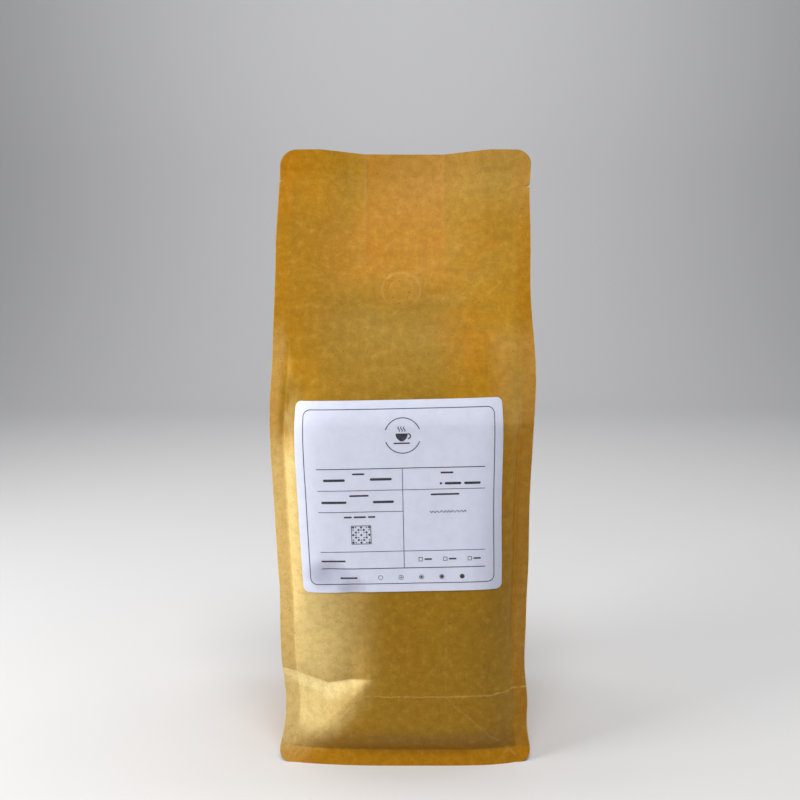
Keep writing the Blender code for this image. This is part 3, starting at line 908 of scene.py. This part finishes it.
        # Painted light: on the right near the label's top corner, and on the right fin.
        right_edge = across.step(0.040, 0.054) * up.between(0.200, 0.232, 0.020) * 0.14
        right_edge = right_edge.most(across.step(0.0625, 0.0650) * up.between(0.080, 0.220, 0.040) * 0.07)
        tone = sheet.mix(right_edge, tone, self.painted_light)
        # Painted light: on the left fin's root beside the label's top.
        pale_fin = reach.step(0.0610, 0.0655) * up.between(0.186, 0.228, 0.026)
        tone = sheet.mix(pale_fin * 0.22, tone, self.painted_light)
        # Painted shade: over the highlight on the left shoulder above the label.
        shoulder = reach.between(0.0535, 0.0620, 0.005) * up.step(0.1835, 0.1900) * up.step(0.224, 0.206)
        tone = sheet.mix(shoulder * 0.80, tone, self.painted_shade)
        # Painted shade: greyer on the web just above the label.
        greyer_painted_shade = across.between(-0.034, 0.012, 0.026) * up.between(0.212, 0.250, 0.030)
        return sheet.mix(greyer_painted_shade * 0.70, tone, self.greyer_painted_shade)

    def _valve_print(
        self, sheet: NodeSheet, pouch: Pouch, across: Value, up: Value, scuff: Value, tone: object
    ) -> object:
        """Marks the valve's disc: two pale rings where the web lies on its edges, and pin holes.

        Formula: near a circle, the squared distance less the squared radius is twice the radius
        times the distance from the circle.
        """
        from_x, from_y = across - pouch.valve_centre[0], up - pouch.valve_centre[1]
        away = from_x * from_x + from_y * from_y
        outer, inner = pouch.valve_radius, 0.62 * pouch.valve_radius
        rings = (away - outer**2).line(2.2 * MM * outer) * 0.11
        rings = rings.most((away - inner**2).line(1.8 * MM * inner) * 0.07)
        tone = sheet.mix(rings * (scuff * 0.8 + 0.2), tone, self.wear_and_painted_highlight)
        holes = ((-0.9, 5.1), (-6.9, 2.2), (-0.9, -8.0), (4.2, -1.4), (-4.6, -4.4))
        dark = None
        for right, above in holes:
            hole_x, hole_y = from_x - right * MM, from_y - above * MM
            hole = (hole_x * hole_x + hole_y * hole_y).step((0.52 * MM) ** 2, (0.20 * MM) ** 2)
            dark = hole if dark is None else dark.most(hole)
        return sheet.mix(dark * 0.8, tone, self.fleck, "MULTIPLY")


@dataclass(frozen=True)
class LabelPaper:
    """Uncoated cool white label paper."""

    white: Colour = (0.665, 0.70, 0.845)
    shade: Colour = (0.60, 0.635, 0.785)
    dent_and_painted_shade: Colour = (0.36, 0.38, 0.50)
    roughness: float = 0.52

    def material(self) -> bpy.types.Material:
        """Makes the finish: fine clouds and fibres in two whites, a tooth of fine grain, and painted shade.

        The painted shade is soft grey: two patches by the lower left corner, and a band along the right
        edge that darkens towards the bottom.
        """
        sheet = NodeSheet("label_paper_white")
        place, right, above = sheet.chart()
        clouds = sheet.noise(place, 160, 4.0, 0.6)
        tooth = sheet.noise(place, 2600, 2.0, 0.6)
        fibres = sheet.grain(place, 380, 2600, 0.7).most(sheet.grain(place, 330, 2400, 2.2))
        share = clouds.step(0.38, 0.72) * 0.55 + fibres.step(0.56, 0.80) * 0.30
        drift = (sheet.noise(place, 90, 3.0, 0.6) - 0.5) * (8 * MM)
        # Painted shade: along the right edge, darker towards the bottom, and two patches by the lower left
        # corner.
        painted_label_shade = right.step(0.028, 0.054) * (above.step(0.030, -0.040) * 0.26 + 0.12)
        for x, y, radius in ((-0.0390, -0.0410, 0.0150), (-0.0280, -0.0480, 0.0110)):
            from_x, from_y = right + drift - x, (above + drift - y) * 1.5
            painted_label_shade = painted_label_shade.most((from_x * from_x + from_y * from_y).step(radius**2, 0.0) * 0.60)
        return sheet.finish(
            {
                "Base Color": sheet.mix(painted_label_shade, sheet.mix(share, self.white, self.shade), self.dent_and_painted_shade),
                "Roughness": clouds * 0.10 + (self.roughness - 0.05),
                "Specular IOR Level": 0.4,
                "Normal": sheet.bump(tooth * 0.6 + fibres * 0.5, 0.018 * MM),
            }
        )


@dataclass(frozen=True)
class PrintInk:
    """Blue-black thermal print, thinner in places."""

    full: Colour = (0.030, 0.031, 0.042)
    thin: Colour = (0.085, 0.088, 0.115)
    roughness: float = 0.5

    def material(self) -> bpy.types.Material:
        """Makes the finish: two depths of ink in fine clouds."""
        sheet = NodeSheet("label_ink")
        place, _, _ = sheet.chart()
        clouds = sheet.noise(place, 900, 3.0, 0.6)
        return sheet.finish(
            {
                "Base Color": sheet.mix(clouds.step(0.40, 0.75), self.full, self.thin),
                "Roughness": clouds * 0.15 + (self.roughness - 0.07),
                "Specular IOR Level": 0.3,
            }
        )


# ---------------------------------------------------------------- sub-assemblies
@dataclass(frozen=True)
class Web:
    """A front or back web with its fins and hem."""

    pouch: Pouch
    side: Side
    spacings: tuple[tuple[float, float], ...]
    columns: int
    fin_columns: int = 5

    def build(self, offset: Array, finish: KraftLaminate) -> bpy.types.Object:
        """Makes the web as a thin closed sheet, and dresses it."""
        across, up = self.pouch.web_grid(
            self.pouch.rows(self.spacings), self.columns, self.fin_columns
        )
        if self.side is Side.BACK:
            across = across[:, ::-1]
        outer = self.pouch.web_point(across, up, self.side) + offset
        name = f"{self.side.name.lower()}_web"
        sheet = SheetMesh()
        sheet.lay(outer, np.stack([across, up], axis=-1), self.pouch.web_thickness)
        return sheet.piece(name, finish.material(f"kraft_{name}", self.pouch, self.side))


@dataclass(frozen=True)
class GussetBand:
    """The band that is the left gusset, the bottom and the right gusset, with its welded edges."""

    pouch: Pouch
    spacing: float = 1.7 * MM
    hem_columns: int = 61
    fin_stations: int = 4
    free_stations: int = 39
    floor_edge: float = 0.74

    def path(self) -> tuple[Array, Array]:
        """Edge of the web from the top left corner, down, along the hem and up to the top right."""
        up = self.pouch.rows([(self.pouch.panel_length, self.spacing)])
        left, right = self.pouch.tip_at(up, -1), self.pouch.tip_at(up, 1)
        hem = np.linspace(-left[0], right[0], self.hem_columns)[1:-1]
        edge_across = np.concatenate([-left[::-1], hem, right])
        edge_up = np.concatenate([up[::-1], np.zeros_like(hem), up])
        return edge_across, edge_up

    def build(self, offset: Array, finish: KraftLaminate) -> bpy.types.Object:
        """Makes the band and dresses it.

        Formula: at each point of the path, the profile runs along the fin or hem just behind the
        front web, across the gusset or the bottom on the straight line between the two seal
        lines, moved out by the gusset's offset, and back along the other fin or hem.
        """
        pouch = self.pouch
        across, up = self.path()
        seal_across, seal_up, hem = pouch.seal_place(across, up)
        share = np.linspace(0, 1, self.fin_stations + 1)[None, :]
        fin_across = across[:, None] * (1 - share) + seal_across[:, None] * share
        fin_up = up[:, None] * (1 - share) + seal_up[:, None] * share
        behind = pouch.band_behind
        front = pouch.web_point(fin_across, fin_up, Side.FRONT, behind)
        back = pouch.web_point(fin_across, fin_up, Side.BACK, behind)[:, ::-1]

        even = np.linspace(-1, 1, self.free_stations)
        stations = (even + 0.10 * np.sin(2 * np.pi * even) / 2)[None, 1:-1]
        blend = ((stations + 1) / 2)[..., None]
        free = front[:, -1:] * (1 - blend) + back[:, :1] * blend
        hand = np.sign(across)[:, None]
        tall = seal_up[:, None]
        outwards = pouch.gusset_offset(tall, stations) + pouch.gusset_relief(tall, stations, hand)
        free[..., 0] += outwards * hand * (1 - hem)[:, None]
        sway_at_seal = pouch.sway(seal_across, seal_up)[:, None]
        free[..., 1] += pouch.sway(free[..., 0], tall) - sway_at_seal
        dip_at_seal = pouch.dip(seal_across, seal_up)[:, None]
        free[..., 2] -= pouch.dip(free[..., 0], tall) - dip_at_seal
        sunk = 1 - ramp(abs(stations), self.floor_edge, 1.0)
        free[..., 2] -= (front[:, -1, 2] * hem)[:, None] * sunk
        outer = np.concatenate([front, free, back], axis=1)

        width = pouch.gusset_width / 2
        fin_over = width - share * pouch.seal
        over = np.concatenate([-fin_over, stations * pouch.gusset_half, fin_over[:, ::-1]], axis=1)
        below = np.maximum(seal_up - pouch.seal, 0) + pouch.root
        along = np.where(hem < 1, np.sign(across) * below, seal_across)
        flat = np.stack(np.broadcast_arrays(over, along[:, None]), axis=-1)
        sheet = SheetMesh()
        sheet.lay(outer + offset, flat, pouch.band_thickness)
        return sheet.piece("gusset_band", finish.material("kraft_gusset_band", pouch, None))


@dataclass(frozen=True)
class PaperLabel:
    """The label: its place on the front web, its sheet, and the way to its surface."""

    pouch: Pouch
    width: float = 0.1055
    height: float = 0.1020
    centre: tuple[float, float] = (-0.0015, 0.1542)
    tilt: float = math.radians(1.2)
    corner: float = 0.003
    thickness: float = 0.00016
    lift: float = 0.00040

    def surface(self, right: Array, above: Array, height: float) -> Array:
        """Place in space of a point on the label.

        Args:
            right: From the label's middle, in metres.
            above: From the label's middle, in metres.
            height: How far in front of the label's printed face.
        Returns:
            The places, with one more axis of 3 at the end.
        """
        across = self.centre[0] + right * math.cos(self.tilt) - above * math.sin(self.tilt)
        up = self.centre[1] + right * math.sin(self.tilt) + above * math.cos(self.tilt)
        return self.pouch.web_point(across, up, Side.FRONT, -(self.lift + height))

    def build(self, offset: Array, finish: LabelPaper) -> bpy.types.Object:
        """Makes the label: a rectangle with rounded corners, laid on the web."""
        angles = np.radians(np.linspace(0, 90, 7))[:-1]
        step = self.corner * (1 - np.cos(angles)) / (self.height / 2)
        plain = np.linspace(-1 + self.corner / (self.height / 2), 1, 80)
        plain = plain[abs(plain) <= 1 - self.corner / (self.height / 2) + 1e-9]
        tall = np.concatenate([step - 1, plain, 1 - step[::-1]])[:, None]
        inset = np.clip(self.corner - (1 - abs(tall)) * self.height / 2, 0.0, self.corner)
        half = self.width / 2 - (self.corner - np.sqrt(self.corner**2 - inset**2))
        right = np.linspace(-1, 1, 92)[None, :] * half
        above = np.broadcast_to(tall * self.height / 2, right.shape)
        outer = self.surface(right, above, 0.0) + offset
        sheet = SheetMesh()
        sheet.lay(outer, np.stack([right, above], axis=-1), self.thickness)
        return sheet.piece("paper_label", finish.material())


@dataclass
class LabelPrint:
    """What is printed on the label: a border, a form of ruled lines and bars, and ornaments.

    Places are shares of the label's width from its left and of its height from its top.
    """

    label: PaperLabel
    offset: Array
    thickness: float = 0.00002
    clearance: float = 0.00003
    sheet: SheetMesh = field(default_factory=SheetMesh)

    def place(self, x: float, y: float) -> tuple[float, float]:
        """Place on the label in metres, from its middle."""
        return (x - 0.5) * self.label.width, (0.5 - y) * self.label.height

    def lay(self, right: Array, above: Array, ring: bool = False) -> None:
        """Prints a grid of places given in metres from the label's middle."""
        height = self.clearance + self.thickness
        outer = self.label.surface(right, above, height) + self.offset
        self.sheet.lay(outer, np.stack([right, above], axis=-1), self.thickness, ring)

    def stroke(self, right: Array, above: Array, width: Array | float, ring: bool = False) -> None:
        """Prints a line along a path: each point moved to both sides by half the width.

        Args:
            right: The path's places in metres from the label's middle.
            above: The same, upwards.
            width: Width of the line, in metres, the same all along or at each point.
            ring: Whether the path is closed.
        """
        run, climb = np.gradient(right), np.gradient(above)
        if ring:
            run = np.roll(right, -1) - np.roll(right, 1)
            climb = np.roll(above, -1) - np.roll(above, 1)
        length = np.hypot(run, climb)
        side = np.linspace(0.5, -0.5, 2)[None, :] * np.broadcast_to(width, right.shape)[:, None]
        side_right = right[:, None] - side * (climb / length)[:, None]
        side_above = above[:, None] + side * (run / length)[:, None]
        self.lay(side_right, side_above, ring)

    def rule(self, start: tuple, end: tuple, width: float) -> None:
        """Prints a straight line between two places given in shares of the label."""
        first, last = self.place(*start), self.place(*end)
        count = max(int(math.dist(first, last) / (1.6 * MM)), 1) + 1
        self.stroke(np.linspace(first[0], last[0], count), np.linspace(first[1], last[1], count), width)

    def bar(self, x: float, y: float, length: float, width: float) -> None:
        """Prints a level bar with rounded ends that stands for a word, about a place in shares."""
        right, above = self.place(x, y)
        turn = np.linspace(0, math.pi / 2, 4)
        cap = width / 2 * (1 - np.cos(turn))
        plain = np.linspace(width / 2, length - width / 2, max(int(length / (1.6 * MM)), 2))
        along = np.concatenate([cap[:-1], plain, (length - cap[:-1])[::-1]])
        near = np.minimum(along, length - along)
        share = np.clip(near / (width / 2), 0.0, 1.0)
        wide = width * np.sqrt(np.clip(1 - (1 - share) ** 2, 0.04, 1.0))
        self.stroke(right - length / 2 + along, np.full_like(along, above), wide)

    def words(self, x: float, y: float, lengths: Sequence[float], width: float) -> None:
        """Prints a row of bars with a gap of a bar's height between them, centred on a place."""
        gap = 1.1 * width
        total = sum(lengths) + gap * (len(lengths) - 1)
        start = -total / 2
        for length in lengths:
            self.bar(x + (start + length / 2) / self.label.width, y, length, width)
            start += length + gap

    def arc(self, centre: tuple, radius: float, start: float, end: float, width: float) -> None:
        """Prints an arc about a centre in metres, between two angles in degrees."""
        count = max(int(abs(end - start) / 9), 4) + 1
        turn = np.radians(np.linspace(start, end, count))
        ring = abs(end - start) >= 360
        turn = turn[:-1] if ring else turn
        right, above = centre[0] + radius * np.cos(turn), centre[1] + radius * np.sin(turn)
        self.stroke(right, above, width, ring)

    def disc(self, centre: tuple, radius: float) -> None:
        """Prints a disc: a square grid pressed to a circle, with x * sqrt(1 - y^2 / 2)."""
        side = np.linspace(-1, 1, 6)
        x, y = np.meshgrid(side, side)
        right = centre[0] + radius * x * np.sqrt(1 - y * y / 2)
        above = centre[1] + radius * y * np.sqrt(1 - x * x / 2)
        self.lay(right, above)

    def box(self, centre: tuple, half: float, width: float) -> None:
        """Prints the outline of a square about a centre in metres."""
        for right, above in ((1, 0), (-1, 0), (0, 1), (0, -1)):
            middle = np.array([centre[0] + right * half, centre[1] + above * half])
            along = np.array([above, right]) * np.linspace(-1, 1, 3)[:, None] * (half + width / 2)
            self.stroke(*(middle + along).T, width)

    def border(self) -> None:
        """Prints the border: a rectangle with rounded corners, one loop of four arcs and sides."""
        inset, radius = 4.5 * MM, 3.4 * MM
        half_width = self.label.width / 2 - inset - radius
        half_height = self.label.height / 2 - inset - radius
        corners = ((1, 1, 0), (-1, 1, 90), (-1, -1, 180), (1, -1, 270))
        path = []
        for side_x, side_y, angle in corners:
            turn = np.radians(angle + np.linspace(0, 90, 7))[:, None]
            arc = radius * np.hstack([np.cos(turn), np.sin(turn)])
            path.append(np.array([side_x * half_width, side_y * half_height]) + arc)
        loop = []
        for arc, following in zip(path, path[1:] + path[:1]):
            share = np.linspace(0, 1, 56)[1:-1, None]
            loop += [arc, arc[-1] * (1 - share) + following[0] * share]
        self.stroke(*np.concatenate(loop).T, 0.38 * MM, ring=True)

    def form(self) -> None:
        """Prints the ruled lines of the form."""
        fine, strong = 0.30 * MM, 0.42 * MM
        left, middle, right = 0.10, 0.507, 0.912
        self.rule((left, 0.347), (right, 0.347), strong)
        self.rule((left, 0.459), (right, 0.459), fine)
        self.rule((left, 0.571), (middle, 0.571), fine)
        self.rule((left, 0.782), (right, 0.782), fine)
        self.rule((left, 0.873), (right, 0.873), strong)
        self.rule((middle, 0.347), (middle, 0.873), fine)

    def entries(self) -> None:
        """Prints the bars that stand for headings and entries, the tick boxes and the scale."""
        heading, entry = 0.90 * MM, 1.30 * MM
        for x, y, lengths in (
            (0.295, 0.374, (0.0062,)),
            (0.725, 0.374, (0.0066,)),
            (0.295, 0.486, (0.0098,)),
            (0.715, 0.486, (0.0150,)),
            (0.295, 0.598, (0.0040, 0.0062, 0.0038)),
            (0.160, 0.832, (0.0125,)),
            (0.232, 0.923, (0.0090,)),
        ):
            self.words(x, y, [0.001 * round(1000 * length, 1) for length in lengths], heading)
        for x, y, lengths in (
            (0.180, 0.405, (0.0108,)),
            (0.402, 0.402, (0.0112,)),
            (0.175, 0.520, (0.0126,)),
            (0.412, 0.520, (0.0108,)),
            (0.790, 0.430, (0.0012, 0.0086, 0.0086)),
        ):
            self.words(x, y, lengths, entry)
        self.note((0.730, 0.577))
        for x in (0.590, 0.712, 0.835):
            right, above = self.place(x, 0.828)
            self.box((right, above), 0.95 * MM, 0.26 * MM)
            self.bar(x + 0.037, 0.828, 0.0040, 0.85 * MM)
        for step, x in enumerate((0.388, 0.490, 0.592, 0.694, 0.796)):
            centre = self.place(x, 0.923)
            self.arc(centre, 1.15 * MM, 0, 360, 0.24 * MM)
            if step:
                self.disc(centre, (0.25 + 0.19 * step) * MM)

    def note(self, centre: tuple) -> None:
        """Prints a wavy line in the place of a handwritten note."""
        right, above = self.place(*centre)
        along = np.linspace(-1, 1, 76)
        wave = 0.50 * MM * np.sin(along * 29 + 0.8 * np.sin(along * 7))
        taper = 0.22 * MM + 0.14 * MM * np.cos(along * 17) ** 2
        self.stroke(right + along * 9.5 * MM, above + wave, taper)

    def emblem(self) -> None:
        """Prints a plain cup on a saucer with steam, inside two arcs."""
        right, above = self.place(0.512, 0.180)
        for start, end in ((20, 160), (200, 340)):
            self.arc((right, above), 9.2 * MM, start, end, 0.42 * MM)
        tall = np.linspace(0, 1, 12)[:, None]
        half = 3.05 * MM * (1 - 0.78 * (1 - tall) ** 2.6)
        body_right = right - 0.5 * MM + np.linspace(-1, 1, 9)[None, :] * half
        body_above = np.broadcast_to(above - 3.0 * MM + tall * 4.1 * MM, body_right.shape)
        self.lay(body_right, body_above)
        self.arc((right + 2.75 * MM, above - 0.35 * MM), 1.25 * MM, -95, 95, 0.62 * MM)
        self.bar(
            0.512 - 0.5 * MM / self.label.width, 0.180 + 4.0 * MM / self.label.height, 8.4 * MM, 0.7 * MM
        )
        climb = np.linspace(0, 1, 16)
        for side in (-1.9, -0.5, 0.9):
            sway = 0.42 * MM * np.sin(2 * math.pi * climb)
            thin = 0.48 * MM * np.sin(math.pi * (0.12 + 0.76 * climb))
            self.stroke(right + side * MM + sway, above + 1.8 * MM + climb * 3.0 * MM, thin)

    def ornament(self) -> None:
        """Prints a small woven ornament of lozenges in a square frame."""
        right, above = self.place(0.300, 0.692)
        self.box((right, above), 4.9 * MM, 0.34 * MM)
        cell = 1.36 * MM
        for row in range(-3, 4):
            for column in range(-3, 4):
                ring = abs(row) + abs(column)
                if ring in (0, 3, 6):
                    half = 0.5 * cell
                elif ring in (2, 5):
                    half = 0.30 * cell
                else:
                    continue
                self.lozenge(right + column * cell, above + row * cell, half)

    def lozenge(self, right: float, above: float, half: float) -> None:
        """Prints a square standing on its corner."""
        side = np.linspace(-0.5, 0.5, 2)
        x, y = np.meshgrid(side, side)
        self.lay(right + half * (x - y), above + half * (x + y))

    def build(self, finish: PrintInk) -> bpy.types.Object:
        """Prints everything as one piece of very thin ink."""
        self.border()
        self.form()
        self.entries()
        self.emblem()
        self.ornament()
        return self.sheet.piece("label_print", finish.material())


@dataclass(frozen=True)
class Studio:
    """The pale sweep, the lights and the camera."""

    camera_place: tuple[float, float, float] = (-0.0022, -0.3500, 0.2430)
    camera_pitch: float = 7.23
    lens: float = 27.1
    sweep: Colour = (0.62, 0.62, 0.63)
    world: Colour = (0.90, 0.94, 1.0)
    world_strength: float = 0.11

    def floor(self) -> bpy.types.Object:
        """Makes the floor and backdrop: a level line, a quarter circle and an upright one, drawn out."""
        bend = np.radians(np.linspace(0, 90, 17))
        radius, start, top = 0.9, 1.3, 3.5
        depth = np.concatenate([[-4.0], start + radius * np.sin(bend), [start + radius]])
        height = np.concatenate([[0.0], radius * (1 - np.cos(bend)), [top]])
        across = np.linspace(4.0, -4.0, 9)[:, None]
        grid = np.broadcast_arrays(across, depth[None, :], height[None, :])
        sheet = SheetMesh()
        outer = np.stack(grid, axis=-1)
        sheet.lay(outer, outer[..., :2], 0.02)
        paper = NodeSheet("studio_paper")
        place, _, _ = paper.chart()
        clouds = paper.noise(place, 3.0, 3.0)
        tone = paper.mix(clouds * 0.25, self.sweep, tuple(0.94 * part for part in self.sweep))
        made = sheet.piece("studio_sweep", paper.finish({"Base Color": tone, "Roughness": 0.8}))
        return made

    def lamp(
        self, name: str, place: tuple, aim: tuple, size: tuple, power: float, tint: Colour
    ) -> None:
        """Adds a soft rectangular light that points from its place at its aim."""
        light = bpy.data.lights.new(name, "AREA")
        light.shape = "RECTANGLE"
        light.size, light.size_y = size
        light.energy = power
        light.color = tint
        made = bpy.data.objects.new(name, light)
        made.location = place
        made.rotation_euler = (Vector(aim) - Vector(place)).to_track_quat("-Z", "Y").to_euler()
        made.visible_camera = False
        bpy.context.scene.collection.objects.link(made)

    def build(self) -> bpy.types.Object:
        """Sets up the world, the lights and the camera, and makes the sweep."""
        scene = bpy.context.scene
        scene.view_settings.view_transform = "Standard"
        world = bpy.data.worlds.new("studio")
        world.use_nodes = True
        background = world.node_tree.nodes["Background"]
        background.inputs["Color"].default_value = (*self.world, 1.0)
        background.inputs["Strength"].default_value = self.world_strength
        scene.world = world
        middle = (0.0, 0.0, 0.17)
        self.lamp("key", (-0.88, -0.285, 0.32), middle, (0.30, 0.60), 9.2, (1.0, 0.985, 0.96))
        self.lamp("top", (0.05, -0.45, 1.35), middle, (0.60, 0.35), 11.0, (1.0, 0.985, 0.96))
        self.lamp("fill", (0.88, -0.30, 0.35), middle, (0.50, 0.50), 1.8, (1.0, 0.97, 0.92))
        self.lamp("backdrop", (0.0, 0.2, 2.2), (0.0, 2.2, 0.7), (2.5, 0.6), 34.0, (1.0, 1.0, 1.0))
        camera = bpy.data.cameras.new("camera")
        camera.lens = self.lens
        camera.clip_start = 0.01
        made = bpy.data.objects.new("camera", camera)
        made.location = self.camera_place
        made.rotation_euler = (math.radians(90 - self.camera_pitch), 0.0, 0.0)
        scene.collection.objects.link(made)
        scene.camera = made
        return self.floor()


def main() -> None:
    """Builds the pouch, its label and the studio, and ties them to the frame."""
    logging.basicConfig(level=logging.INFO, format="%(name)s: %(message)s")
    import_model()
    low, high = (np.array(corner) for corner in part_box("bag"))
    pouch = Pouch()
    offset = (low + high) / 2 * np.array([1, 1, 0]) - pouch.plain_middle()
    kraft = KraftLaminate()
    front_rows = ((0.100, 0.90 * MM), (0.205, 1.60 * MM), (pouch.panel_length, 1.20 * MM))
    back_rows = ((0.100, 1.20 * MM), (pouch.panel_length, 1.80 * MM))
    label = PaperLabel(pouch)
    made = [
        (Web(pouch, Side.FRONT, front_rows, 131).build(offset, kraft), "bag", "kraft_laminate"),
        (Web(pouch, Side.BACK, back_rows, 91).build(offset, kraft), "bag", "kraft_laminate"),
        (GussetBand(pouch).build(offset, kraft), "bag", "kraft_laminate"),
        (label.build(offset, LabelPaper()), "label", "label_paper"),
        (LabelPrint(label, offset).build(PrintInk()), "label", "label_paper"),
    ]
    for piece, node, slot in made:
        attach(piece, "root")
        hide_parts(node)
        LOG.info("%s: %d faces", piece.name, len(piece.data.polygons))
    Studio().build()


if __name__ == "__main__":
    main()
